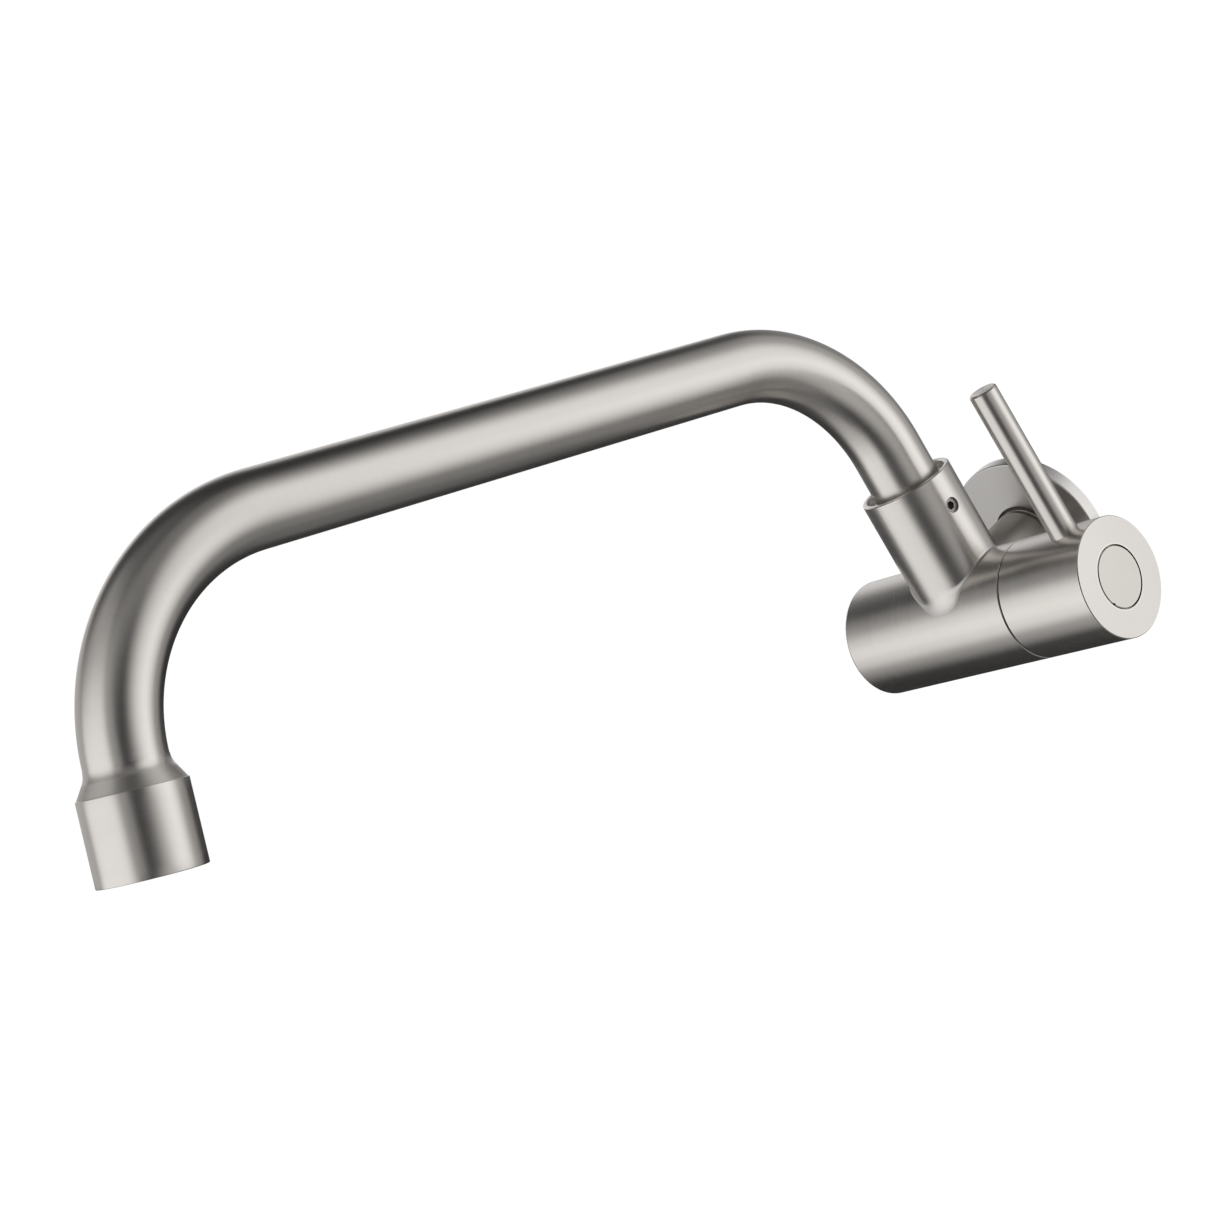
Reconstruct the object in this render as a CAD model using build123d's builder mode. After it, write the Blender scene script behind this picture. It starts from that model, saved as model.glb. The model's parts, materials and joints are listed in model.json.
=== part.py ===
"""Wall tap with a swivel spout and a quarter-turn side lever, in stainless steel.

The origin is where the axis of the inlet thread meets the wall. +X runs along the body
towards the lever, +Y goes into the wall and +Z is up. All sizes are in millimetres.
"""

from build123d import *
from math import cos, radians, sin, sqrt, tan
import os

os.makedirs("parts", exist_ok=True)

# Body
body_out = 60.9
body_radius = 19.0
body_bore = 16.0
body_left = -25.1
body_right = 43.0
body_end_round = 0.8
end_plug_thickness = 4.0
port_radius = 6.5
edge_break = 0.25

# How far a cut runs on past the surface that it opens
past = 1.0

# Inlet
branch_radius = 11.0
branch_bore = 7.0
branch_foot = -46.5
branch_end = -7.5
branch_ring_radius = 10.8
branch_ring = (-5.5, -4.3)
thread_radius = 10.4775
thread_relief_radius = 9.3
thread = (-2.0, 15.0)
thread_lead_in = 1.0

# Wall flange
flange_radius = 27.8
flange_depth = 5.05
flange_sheet = 0.9
flange_hole = 12.0
flange_corner = 0.5

# Spout socket
socket_x = 17.4
socket_radius = 15.25
socket_bore = 12.3
socket_floor = 21.0
socket_top = 49.0
socket_edge = 0.3
socket_mouth_radius = 13.6
socket_mouth_floor = 44.0
grub_height = 38.1
grub_angle = -8.0
grub_radius = 2.5

# Spout
pipe_radius = 11.09
pipe_bore = 9.95
pipe_foot = 43.5
riser_top = 60.7
swing = -4.8
first_bend_radius = 52.9
first_bend = 73.6
run_length = 169.4
second_bend_radius = 57.0
second_bend = 84.9
last_leg = 29.5
running_clearance = 0.05
o_ring_section = 0.92

# Outlet collar, in distances above its mouth
collar_radius = 14.6
collar_length = 22.5
collar_ledge = 0.3
collar_edge = 0.15
collar_lip = 0.1
flare_angle = 31.0
flare_round = 5.8
aerator_thread = 12.0
aerator_seat = 12.2
thread_mouth = 0.4
pipe_seat = 16.5
pipe_stop = 0.2

# Headwork, the quarter-turn cartridge, in X
seat = (7.4, 10.6)
barrel_radius = 9.2
barrel_bore = 7.9
barrel = (11.6, 27.2)
cavity_end = 23.5
headwork_thread = (27.2, 37.6)
headwork_ring_span = (27.4, 36.6)
hex_across_flats = 24.0
hex_end = 42.4
neck_radius = 7.2
neck_end = 50.4
spindle_radius = 4.0
spindle_end = 61.5
stop_lug_arc = 50.0
quarter_turn = 90.0

# Handle
hub_left = 43.4
hub_right = 75.7
hub_cavity_end = 59.0
hub_boss_radius = 7.5
spline = (53.2, 62.0)
spline_teeth = 20
screw_seat = 64.0
button_radius = 9.7
button_groove = 0.4
button_thickness = 2.6
lever_x = 65.1
lever_lean = 1.0
lever_radius = 4.45
lever_tip = 69.5
lever_seat = 16.2
lever_stud_radius = 3.0
lever_stud_end = 6.2


def lathe_plane(origin, along, across):
    """Plane of a turned piece's outline: its Y axis is the turning axis, its X axis the radius."""
    return Plane(origin=origin, x_dir=across, z_dir=Vector(*across).cross(Vector(*along)))


def turn(plane, outline, mode=Mode.ADD):
    """Turn a closed outline of (radius, station) points about the plane's Y axis."""
    with BuildSketch(plane) as profile:
        with BuildLine():
            Polyline(*outline, close=True)
        make_face()
    revolve(profile.sketch, axis=Axis(plane.origin, plane.y_dir), mode=mode)


def ring(plane, inner, outer, start, end, mode=Mode.ADD):
    """Turn a plain ring, or a disc where inner is 0, between two stations."""
    turn(plane, [(inner, start), (outer, start), (outer, end), (inner, end)], mode)


def o_ring(plane, radius, section, station):
    """Turn a round section about the plane's Y axis."""
    with BuildSketch(plane) as profile:
        with Locations((radius, station)):
            Circle(section)
    revolve(profile.sketch, axis=Axis(plane.origin, plane.y_dir))


def bar(plane, radius, start, end, mode=Mode.SUBTRACT):
    """A round bar along the plane's Y axis, by default cut away."""
    ring(plane, 0, radius, start, end, mode)


def save(piece, name):
    """Label a finished piece and write its STEP file."""
    piece.part.label = name
    export_step(piece.part, f"parts/{name}.step")


spout_x = cos(radians(swing - 90))
spout_y = sin(radians(swing - 90))
lever_up = (0, -sin(radians(lever_lean)), cos(radians(lever_lean)))
body_lathe = lathe_plane((0, -body_out, 0), (1, 0, 0), (0, 0, 1))
inlet_lathe = lathe_plane((0, 0, 0), (0, 1, 0), (1, 0, 0))
socket_lathe = lathe_plane((socket_x, -body_out, 0), (0, 0, 1), (spout_x, spout_y, 0))
lever_lathe = lathe_plane((lever_x, -body_out, 0), lever_up, (1, 0, 0))
grub_out = (cos(radians(grub_angle)), sin(radians(grub_angle)), 0)
grub_lathe = lathe_plane((socket_x, -body_out, grub_height), grub_out, (0, 0, 1))


def across_body(x):
    """Plane square to the body's axis at x, with its X axis up."""
    return Plane(origin=(x, -body_out, 0), x_dir=(0, 0, 1), z_dir=(1, 0, 0))


def outer_edges(piece):
    """The two round edges at the ends of a piece of the body's diameter, from left to right."""
    rounds = piece.edges().filter_by(GeomType.CIRCLE)
    return rounds.filter_by(lambda e: abs(e.radius - body_radius) < 0.01).sort_by(Axis.X)


# Body tube, with the inlet port at the back and the spout port on top
with BuildPart() as body_tube:
    ring(body_lathe, body_bore, body_radius, body_left, body_right)
    bar(inlet_lathe, branch_bore, -body_out, 0)
    bar(socket_lathe, port_radius, 0, socket_top)
    chamfer(outer_edges(body_tube)[-1], length=edge_break)
    fillet(outer_edges(body_tube)[0], radius=body_end_round)
save(body_tube, "body_tube")

# Blind end of the body, let in flush
with BuildPart() as body_end_plug:
    ring(body_lathe, 0, body_bore, body_left, body_left + end_plug_thickness)
save(body_end_plug, "body_end_plug")

# Inlet branch: saddle on the body, groove, ring at the flange, relief, and the half-inch pipe thread
with BuildPart() as inlet_branch:
    turn(inlet_lathe, [
        (branch_bore, branch_foot),
        (branch_radius, branch_foot),
        (branch_radius, branch_end),
        (thread_relief_radius, branch_end),
        (thread_relief_radius, branch_ring[0]),
        (branch_ring_radius, branch_ring[0]),
        (branch_ring_radius, branch_ring[1]),
        (thread_relief_radius, branch_ring[1]),
        (thread_relief_radius, thread[0]),
        (thread_radius, thread[0]),
        (thread_radius, thread[1]),
        (thread_radius - thread_lead_in, thread[1] + thread_lead_in),
        (branch_bore, thread[1] + thread_lead_in),
    ])
    bar(body_lathe, body_radius, body_left, body_right)
save(inlet_branch, "inlet_branch")

# Wall flange: a shallow pressed cup with a flat face and a small round corner
flange_front = -flange_depth
flange_back = flange_front + flange_sheet
with BuildPart() as wall_flange:
    ring(inlet_lathe, flange_hole, flange_radius, flange_front, 0)
    bar(inlet_lathe, flange_radius - flange_sheet, flange_back, 0)
    rims = wall_flange.edges().filter_by(GeomType.CIRCLE).filter_by(lambda e: e.radius > flange_radius - 0.01)
    fillet(rims.sort_by(Axis.Y)[0], radius=flange_corner)
save(wall_flange, "wall_flange")

# Rubber gasket on the relief between the ring and the thread, behind the flange's face
gasket_front = branch_ring[1] + 0.2
inlet_gasket_radius = 16.5
inlet_gasket_thickness = 2.0
with BuildPart() as inlet_gasket:
    ring(inlet_lathe, thread_relief_radius, inlet_gasket_radius, gasket_front,
         gasket_front + inlet_gasket_thickness)
save(inlet_gasket, "inlet_gasket")

# Spout socket: saddle on the body, bore for the spout's tail, open mouth for the bush
with BuildPart() as spout_socket:
    ring(socket_lathe, 0, socket_radius, body_radius / 2, socket_top)
    bar(body_lathe, body_radius, body_left, body_right)
    bar(socket_lathe, port_radius, 0, socket_top)
    bar(socket_lathe, socket_bore, socket_floor, socket_top)
    bar(socket_lathe, socket_mouth_radius, socket_mouth_floor, socket_top)
    chamfer(spout_socket.edges().group_by(Axis.Z)[-1], length=socket_edge)
    bar(grub_lathe, grub_radius, socket_bore - past, socket_radius + past)
save(spout_socket, "spout_socket")

# Bush that steadies the pipe in the socket's mouth
bush_height = 2.3
bush_clearance = 0.08
with BuildPart() as spout_bush:
    ring(socket_lathe, pipe_radius + bush_clearance, socket_mouth_radius, socket_mouth_floor,
         socket_mouth_floor + bush_height)
save(spout_bush, "spout_bush")

# Grub screw whose tip runs in the tail's groove and keeps the spout in
grub_head = socket_radius - 0.95
grub_neck = 12.1
grub_cone = 0.4
grub_tip = 10.9
grub_tip_radius = 1.8
grub_socket_flats = 2.5
grub_socket_depth = 1.8
with BuildPart() as socket_grub_screw:
    turn(grub_lathe, [
        (0, grub_tip),
        (grub_tip_radius, grub_tip),
        (grub_tip_radius, grub_neck),
        (grub_radius, grub_neck + grub_cone),
        (grub_radius, grub_head),
        (0, grub_head),
    ])
    grub_face = Plane(origin=grub_lathe.from_local_coords((0, grub_head, 0)), z_dir=grub_out)
    with BuildSketch(grub_face):
        RegularPolygon(grub_socket_flats / sqrt(3), 6)
    extrude(amount=-grub_socket_depth, mode=Mode.SUBTRACT)
save(socket_grub_screw, "socket_grub_screw")

# Partition in the body with the hole that the headwork seals on
seat_hole = 5.5
with BuildPart() as valve_seat:
    ring(body_lathe, seat_hole, body_bore, *seat)
save(valve_seat, "valve_seat")

# Ring in the body with the thread that the headwork screws into
with BuildPart() as headwork_ring:
    ring(body_lathe, thread_radius, body_bore, *headwork_ring_span)
save(headwork_ring, "headwork_ring")

# Headwork body: barrel with windows, thread, hexagon and neck, with the quarter-turn stop inside
window_width = 8.0
window = (17.5, 21.5)
stop_wall_inner = 6.3
stop_wall_outer = barrel_bore + 0.2
stop_wall = (20.8, 22.5)
stop_slack = 2.0
stop_free_arc = quarter_turn + stop_lug_arc + 2 * stop_slack
with BuildPart() as headwork_body:
    ring(body_lathe, 0, barrel_radius, *barrel)
    ring(body_lathe, 0, thread_radius, *headwork_thread)
    with BuildSketch(across_body(headwork_thread[1])):
        RegularPolygon(hex_across_flats / sqrt(3), 6)
    extrude(amount=hex_end - headwork_thread[1])
    ring(body_lathe, 0, neck_radius, hex_end, neck_end)
    bar(body_lathe, barrel_bore, barrel[0], cavity_end)
    bar(body_lathe, spindle_radius + running_clearance, cavity_end, neck_end)
    with BuildSketch(Plane(origin=((window[0] + window[1]) / 2, -body_out, 0))):
        Rectangle(window[1] - window[0], window_width)
    extrude(amount=barrel_radius + past, both=True, mode=Mode.SUBTRACT)
    with BuildSketch(across_body(stop_wall[0])):
        with BuildLine():
            stop_outer_arc = CenterArc((0, 0), stop_wall_outer, stop_free_arc, 360 - stop_free_arc)
            stop_inner_arc = CenterArc((0, 0), stop_wall_inner, stop_free_arc, 360 - stop_free_arc)
            Line(stop_outer_arc @ 0, stop_inner_arc @ 0)
            Line(stop_outer_arc @ 1, stop_inner_arc @ 1)
        make_face()
    extrude(amount=stop_wall[1] - stop_wall[0])
save(headwork_body, "headwork_body")

# Gasket under the hexagon
gasket_radius = 13.4
with BuildPart() as headwork_gasket:
    ring(body_lathe, thread_radius, gasket_radius, headwork_ring_span[1], headwork_thread[1])
save(headwork_gasket, "headwork_gasket")

# Rubber ring that seals the headwork on the seat
seal_bore = 5.6
seal_end = 13.4
with BuildPart() as seat_seal:
    ring(body_lathe, seal_bore, barrel_bore, seat[1], seal_end)
save(seat_seal, "seat_seal")

# Ceramic discs, each with two curved ports; a quarter turn brings them in line
disc_thickness = 3.0
disc_gap = 0.05
fixed_disc_radius = barrel_bore - 0.05
moving_disc_radius = barrel_bore - 0.3
port_track = 4.3
port_width = 3.2
port_arc = 50.0
fixed_disc_end = seal_end + disc_thickness
moving_disc_start = fixed_disc_end + disc_gap
moving_disc_end = moving_disc_start + disc_thickness
tang_length = 11.6
tang_width = 3.0
tang_depth = 1.4
tang_gap = 0.1


def ceramic_disc(start, radius, port_angle):
    """A disc from start, with two ports centred on port_angle and opposite it."""
    with BuildSketch(across_body(start)) as face:
        Circle(radius)
        for side in (0, 180):
            port = CenterArc((0, 0), port_track, side + port_angle - port_arc / 2, port_arc)
            SlotArc(port, port_width, mode=Mode.SUBTRACT)
    extrude(face.sketch, amount=disc_thickness)


with BuildPart() as fixed_disc:
    ceramic_disc(seal_end, fixed_disc_radius, 0)
save(fixed_disc, "fixed_disc")

with BuildPart() as moving_disc:
    ceramic_disc(moving_disc_start, moving_disc_radius, 90)
    with BuildSketch(across_body(moving_disc_end)):
        Rectangle(tang_length + 4 * tang_gap, tang_width + 2 * tang_gap)
    extrude(amount=-tang_depth, mode=Mode.SUBTRACT)
save(moving_disc, "moving_disc")

# Washer that the spindle's flange turns on
spindle_flange = (20.6, 22.6)
washer_start = spindle_flange[1] + running_clearance
washer_bore = spindle_radius + 2 * running_clearance
with BuildPart() as thrust_washer:
    ring(body_lathe, washer_bore, moving_disc_radius, washer_start, cavity_end)
save(thrust_washer, "thrust_washer")

# Spindle: tang in the moving disc, flange with the stop lug, O-ring grooves, splined end
spindle_flange_radius = 5.8
spindle_ring_stations = (44.5, 47.5)
spindle_groove_floor = 3.1
spindle_groove_width = 1.7
circlip_span = (50.65, 51.45)
circlip_groove_floor = 3.3
stop_lug = (20.85, 22.45)
stop_lug_radius = barrel_bore - 0.4
hub_screw_radius = 2.5
spindle_hole_floor = 52.0
spline_groove = 0.45
tang_start = moving_disc_end - tang_depth + tang_gap
with BuildPart() as spindle:
    ring(body_lathe, 0, spindle_flange_radius, *spindle_flange)
    ring(body_lathe, 0, spindle_radius, spindle_flange[1], spindle_end)
    with BuildSketch(across_body(tang_start)):
        Rectangle(tang_length, tang_width)
    extrude(amount=spindle_flange[0] - tang_start)
    with BuildSketch(across_body(stop_lug[0])):
        with BuildLine():
            lug_arc = CenterArc((0, 0), stop_lug_radius, stop_slack, stop_lug_arc)
            Line((0, 0), lug_arc @ 0)
            Line((0, 0), lug_arc @ 1)
        make_face()
    extrude(amount=stop_lug[1] - stop_lug[0])
    for station in spindle_ring_stations:
        ring(body_lathe, spindle_groove_floor, spindle_radius + past, station - spindle_groove_width / 2,
             station + spindle_groove_width / 2, Mode.SUBTRACT)
    ring(body_lathe, circlip_groove_floor, spindle_radius + past, circlip_span[0] - running_clearance,
         circlip_span[1] + running_clearance, Mode.SUBTRACT)
    bar(body_lathe, hub_screw_radius, spindle_hole_floor, spindle_end)
    with BuildSketch(across_body(spline[0])):
        with PolarLocations(spindle_radius, spline_teeth):
            RegularPolygon(spline_groove, 4)
    extrude(amount=spindle_end - spline[0], mode=Mode.SUBTRACT)
save(spindle, "spindle")

spindle_ring_section = 0.44
with BuildPart() as spindle_o_rings:
    for station in spindle_ring_stations:
        o_ring(body_lathe, spindle_radius - spindle_ring_section, spindle_ring_section, station)
save(spindle_o_rings, "spindle_o_rings")

# Open ring that keeps the spindle in the neck
circlip_radius = 5.6
circlip_opening = 53.0
with BuildPart() as spindle_circlip:
    ring(body_lathe, circlip_groove_floor, circlip_radius, *circlip_span)
    with BuildSketch(across_body(circlip_span[0])):
        with BuildLine():
            open_arc = CenterArc((0, 0), circlip_radius + past, 180 - circlip_opening / 2, circlip_opening)
            Line((0, 0), open_arc @ 0)
            Line((0, 0), open_arc @ 1)
        make_face()
    extrude(amount=circlip_span[1] - circlip_span[0], mode=Mode.SUBTRACT)
save(spindle_circlip, "spindle_circlip")

# Handle hub: a cup over the neck, with a splined boss, the button's recess and the lever's hole
button_seat = hub_right - button_thickness
counterbore_radius = 5.0
screw_clearance = 0.2
with BuildPart() as handle_hub:
    ring(body_lathe, 0, body_radius, hub_left, hub_right)
    ring(body_lathe, hub_boss_radius, body_bore, hub_left, hub_cavity_end, Mode.SUBTRACT)
    bar(body_lathe, hub_boss_radius, hub_left, spline[0])
    bar(body_lathe, hub_screw_radius + screw_clearance, spline[1], screw_seat)
    bar(body_lathe, counterbore_radius, screw_seat, hub_right)
    bar(body_lathe, button_radius + button_groove, button_seat, hub_right)
    with BuildSketch(across_body(spline[0])):
        Circle(spindle_radius)
        with PolarLocations(spindle_radius, spline_teeth):
            RegularPolygon(spline_groove - running_clearance, 4, mode=Mode.SUBTRACT)
    extrude(amount=spline[1] - spline[0], mode=Mode.SUBTRACT)
    chamfer(outer_edges(handle_hub), length=edge_break)
    bar(lever_lathe, lever_radius + running_clearance, lever_seat, body_radius + past)
    bar(lever_lathe, lever_stud_radius, lever_stud_end, lever_seat)
save(handle_hub, "handle_hub")

# Lever: a round rod with a threaded stud at its foot
lever_edge = 0.5
lever_stud_gap = 0.2
with BuildPart() as lever_rod:
    turn(lever_lathe, [
        (0, lever_stud_end + lever_stud_gap),
        (lever_stud_radius, lever_stud_end + lever_stud_gap),
        (lever_stud_radius, lever_seat),
        (lever_radius, lever_seat),
        (lever_radius, lever_tip - lever_edge),
        (lever_radius - lever_edge, lever_tip),
        (0, lever_tip),
    ])
save(lever_rod, "lever_rod")

# Button that snaps into the hub's end over the screw, with a pry notch in its rim
snap_ring_depth = 3.6
snap_ring_inner = 3.8
snap_ring_outer = counterbore_radius - running_clearance
notch_radius = 0.7
notch_track = button_radius + 0.2
notch_angle = 120.7
with BuildPart() as button_cap:
    turn(body_lathe, [
        (0, button_seat),
        (button_radius, button_seat),
        (button_radius, hub_right - edge_break),
        (button_radius - edge_break, hub_right),
        (0, hub_right),
    ])
    ring(body_lathe, snap_ring_inner, snap_ring_outer, button_seat - snap_ring_depth, button_seat)
    with BuildSketch(across_body(button_seat)):
        with PolarLocations(notch_track, 1, start_angle=notch_angle):
            Circle(notch_radius)
    extrude(amount=button_thickness, mode=Mode.SUBTRACT)
save(button_cap, "button_cap")

# Screw that holds the hub on the spindle
hub_screw_foot = spindle_hole_floor + 0.6
hub_screw_head = (screw_seat, 67.4)
hub_screw_head_radius = 4.4
hub_screw_flats = 4.0
hub_screw_socket_depth = 2.2
with BuildPart() as hub_screw:
    ring(body_lathe, 0, hub_screw_radius, hub_screw_foot, screw_seat)
    ring(body_lathe, 0, hub_screw_head_radius, *hub_screw_head)
    with BuildSketch(across_body(hub_screw_head[1])):
        RegularPolygon(hub_screw_flats / sqrt(3), 6)
    extrude(amount=-hub_screw_socket_depth, mode=Mode.SUBTRACT)
save(hub_screw, "hub_screw")

# Spout pipe: riser, bend, rising run, bend and last leg
with BuildPart() as spout_pipe:
    with BuildLine(socket_lathe) as pipe_path:
        riser = Line((0, pipe_foot), (0, riser_top))
        bend_a = JernArc(riser @ 1, riser % 1, first_bend_radius, -first_bend)
        run = Line(bend_a @ 1, bend_a @ 1 + (bend_a % 1) * run_length)
        bend_b = JernArc(run @ 1, run % 1, second_bend_radius, -second_bend)
        mouth = bend_b @ 1 + (bend_b % 1) * last_leg
        leg = Line(bend_b @ 1, bend_b @ 1 + (bend_b % 1) * (last_leg - pipe_seat))
    with BuildSketch(Plane(origin=riser @ 0, z_dir=riser % 0)):
        Circle(pipe_radius)
        Circle(pipe_bore, mode=Mode.SUBTRACT)
    sweep(path=pipe_path.wire())
save(spout_pipe, "spout_pipe")

# Turned tail in the pipe's foot, with two O-ring grooves and the groove for the grub screw
tail_foot = socket_floor + 1.0
tail_bore = 8.0
tail_radius = socket_bore - running_clearance
tail_spigot_top = pipe_foot + 10.0
tail_ring_stations = (25.2, 30.2)
tail_groove_width = 2.6
tail_groove_floor = 10.4
grub_groove_width = 5.2
with BuildPart() as spout_tail:
    ring(socket_lathe, tail_bore, tail_radius, tail_foot, pipe_foot)
    ring(socket_lathe, tail_bore, pipe_bore, pipe_foot, tail_spigot_top)
    for station, width in (
        (tail_ring_stations[0], tail_groove_width),
        (tail_ring_stations[1], tail_groove_width),
        (grub_height, grub_groove_width),
    ):
        ring(socket_lathe, tail_groove_floor, tail_radius + past, station - width / 2,
             station + width / 2, Mode.SUBTRACT)
save(spout_tail, "spout_tail")

with BuildPart() as spout_o_rings:
    for station in tail_ring_stations:
        o_ring(socket_lathe, tail_radius - o_ring_section, o_ring_section, station)
save(spout_o_rings, "spout_o_rings")

# Outlet collar: flared shoulder brazed on the pipe, ledge, and the skirt with the aerator's thread
flow = leg % 1
outlet_lathe = lathe_plane(mouth, tuple(-flow), tuple(flow.cross(socket_lathe.z_dir)))
flare_foot = collar_radius - collar_ledge
flare_rise = (flare_foot - pipe_radius - collar_lip) / tan(radians(flare_angle))
blend_reach = flare_round * tan(radians(flare_angle / 2))
with BuildPart() as outlet_collar:
    with BuildSketch(outlet_lathe) as collar_profile:
        with BuildLine():
            Polyline(
                (aerator_thread + thread_mouth, 0),
                (collar_radius - edge_break, 0),
                (collar_radius, edge_break),
                (collar_radius, collar_length - collar_edge),
                (collar_radius - collar_edge, collar_length),
                (flare_foot, collar_length),
            )
            flare = Line(
                (flare_foot, collar_length),
                (pipe_radius + collar_lip + blend_reach * sin(radians(flare_angle)),
                 collar_length + flare_rise - blend_reach * cos(radians(flare_angle))),
            )
            blend = JernArc(flare @ 1, flare % 1, flare_round, -flare_angle)
            Polyline(
                blend @ 1,
                (pipe_radius, collar_length + flare_rise + blend_reach),
                (pipe_radius, pipe_seat),
                (pipe_bore - pipe_stop, pipe_seat),
                (pipe_bore - pipe_stop, aerator_seat),
                (aerator_thread, aerator_seat),
                (aerator_thread, thread_mouth),
                (aerator_thread + thread_mouth, 0),
            )
        make_face()
    revolve(collar_profile.sketch, axis=Axis(outlet_lathe.origin, outlet_lathe.y_dir))
save(outlet_collar, "outlet_collar")


def across_outlet(height):
    """Plane square to the flow, height above the collar's mouth, looking up the pipe."""
    return Plane(origin=outlet_lathe.from_local_coords((0, height, 0)), x_dir=outlet_lathe.x_dir,
                 z_dir=outlet_lathe.y_dir)


# Aerator: threaded housing with two key slots, honeycomb outlet, diffuser plate and washer
housing = (0.6, 11.0)
housing_bore = 10.0
key_slot_width = 2.4
key_slot_depth = 1.2
with BuildPart() as aerator_housing:
    ring(outlet_lathe, housing_bore, aerator_thread, *housing)
    with BuildSketch(across_outlet(housing[0])):
        Rectangle(2 * aerator_thread + past, key_slot_width)
        Circle(housing_bore, mode=Mode.SUBTRACT)
    extrude(amount=key_slot_depth, mode=Mode.SUBTRACT)
save(aerator_housing, "aerator_housing")

honeycomb_foot = 1.1
honeycomb_thickness = 3.0
cell_spacing = 1.15
cell_size = 0.95
cells_across = 7
with BuildPart() as aerator_honeycomb:
    with BuildSketch(across_outlet(honeycomb_foot)):
        Circle(housing_bore)
        with HexLocations(cell_spacing, cells_across, cells_across):
            RegularPolygon(cell_size, 6, mode=Mode.SUBTRACT)
    extrude(amount=honeycomb_thickness)
save(aerator_honeycomb, "aerator_honeycomb")

diffuser_foot = 8.0
diffuser_thickness = 2.0
jet_radius = 0.5
jet_tracks = (4.0, 6.0, 8.0)
with BuildPart() as aerator_diffuser:
    with BuildSketch(across_outlet(diffuser_foot)):
        Circle(housing_bore)
        for track in jet_tracks:
            with PolarLocations(track, round(2 * track)):
                Circle(jet_radius, mode=Mode.SUBTRACT)
    extrude(amount=diffuser_thickness)
save(aerator_diffuser, "aerator_diffuser")

washer_inner = 8.6
washer_outer = aerator_thread - 0.1
with BuildPart() as aerator_washer:
    ring(outlet_lathe, washer_inner, washer_outer, housing[1], aerator_seat)
save(aerator_washer, "aerator_washer")
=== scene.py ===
"""Dresses the wall tap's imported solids: brushed, turned and polished steel, weld fillets, the
bent pipe and the inlet thread, in a pale studio. Everything is in metres, in the solids' frame:
the origin is where the inlet's axis meets the wall, +X along the body to the lever, +Y into the
wall and +Z up."""

import json
import math

import bpy
import numpy as np
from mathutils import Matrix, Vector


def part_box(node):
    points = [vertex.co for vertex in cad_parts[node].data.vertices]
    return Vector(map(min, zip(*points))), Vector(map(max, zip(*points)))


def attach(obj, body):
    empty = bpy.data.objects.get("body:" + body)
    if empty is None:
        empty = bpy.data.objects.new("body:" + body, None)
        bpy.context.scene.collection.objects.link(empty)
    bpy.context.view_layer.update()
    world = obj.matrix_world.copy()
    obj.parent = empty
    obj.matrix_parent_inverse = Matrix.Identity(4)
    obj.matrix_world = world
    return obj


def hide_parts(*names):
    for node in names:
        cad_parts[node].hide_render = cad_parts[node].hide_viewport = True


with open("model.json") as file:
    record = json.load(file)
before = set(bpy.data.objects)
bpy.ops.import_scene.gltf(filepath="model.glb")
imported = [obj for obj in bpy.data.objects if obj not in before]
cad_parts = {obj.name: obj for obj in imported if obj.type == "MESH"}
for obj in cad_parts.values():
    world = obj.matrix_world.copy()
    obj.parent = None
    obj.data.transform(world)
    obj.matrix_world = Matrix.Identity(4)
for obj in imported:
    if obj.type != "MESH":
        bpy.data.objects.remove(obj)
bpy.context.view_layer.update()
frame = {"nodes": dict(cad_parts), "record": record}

# Camera
# Stands in front, right of the tap and a little above it, and leans over to its left, as the
# picture is framed. Its place, turn and lens were worked out from the tap's own proportions.
camera_place = (0.57191, -0.63196, 0.22637)
camera_yaw = math.radians(51.379)
camera_pitch = math.radians(-11.685)
camera_roll = math.radians(-31.280)
camera_lens = 75.84
camera_film = 36.0


def stand_at(obj, right, up, back, place):
    """Puts an object at a place, with its own X, Y and Z axes along right, up and back."""
    standing = np.eye(4)
    standing[:3] = np.stack([right, up, back, place], 1)
    obj.matrix_world = standing.T.tolist()


forward = np.array([
    -math.sin(camera_yaw) * math.cos(camera_pitch),
    math.cos(camera_yaw) * math.cos(camera_pitch),
    math.sin(camera_pitch),
])
level = np.array([math.cos(camera_yaw), math.sin(camera_yaw), 0.0])
upright = np.cross(level, forward)
camera_right = math.cos(camera_roll) * level + math.sin(camera_roll) * upright
camera_up = -math.sin(camera_roll) * level + math.cos(camera_roll) * upright
camera = bpy.data.objects.new("camera", bpy.data.cameras.new("camera"))
bpy.context.scene.collection.objects.link(camera)
stand_at(camera, camera_right, camera_up, -forward, camera_place)
camera.data.sensor_width = camera_film
camera.data.lens = camera_lens
camera.data.clip_start = 0.02
camera.data.clip_end = 200.0
bpy.context.scene.camera = camera
bpy.context.scene.view_settings.view_transform = "Standard"

# Studio
# A white room with a pale floor a metre below the tap, as far as under a real wall tap. A grey
# light tent stands round the tap and shows only in gloss, with tall soft windows left and right
# of the camera. Two soft lamps light the floor and what isn't metal.
middle = np.array([0.02, -0.19, 0.06])
room_white = (1, 1, 1, 1)
room_light_colour = (0.62, 0.62, 0.62, 1)
floor_height = -1.0
floor_half = 60.0
floor_colour = (0.8, 0.8, 0.8, 1)
floor_glow_colour = (0.52, 0.52, 0.52, 1)
tent_reach = 2.2
tent_rise = 0.93
tent_dark = 0.035


def nodes_of(tree, *steps):
    """Adds nodes to a tree: each step is a node type with the socket values and settings it gets."""
    made = []
    for kind, inputs, settings in steps:
        node = tree.nodes.new(kind)
        for key, value in settings.items():
            setattr(node, key, value)
        for key, value in inputs.items():
            if isinstance(value, bpy.types.NodeSocket):
                tree.links.new(value, node.inputs[key])
            else:
                node.inputs[key].default_value = value
        made.append(node)
    return made


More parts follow.
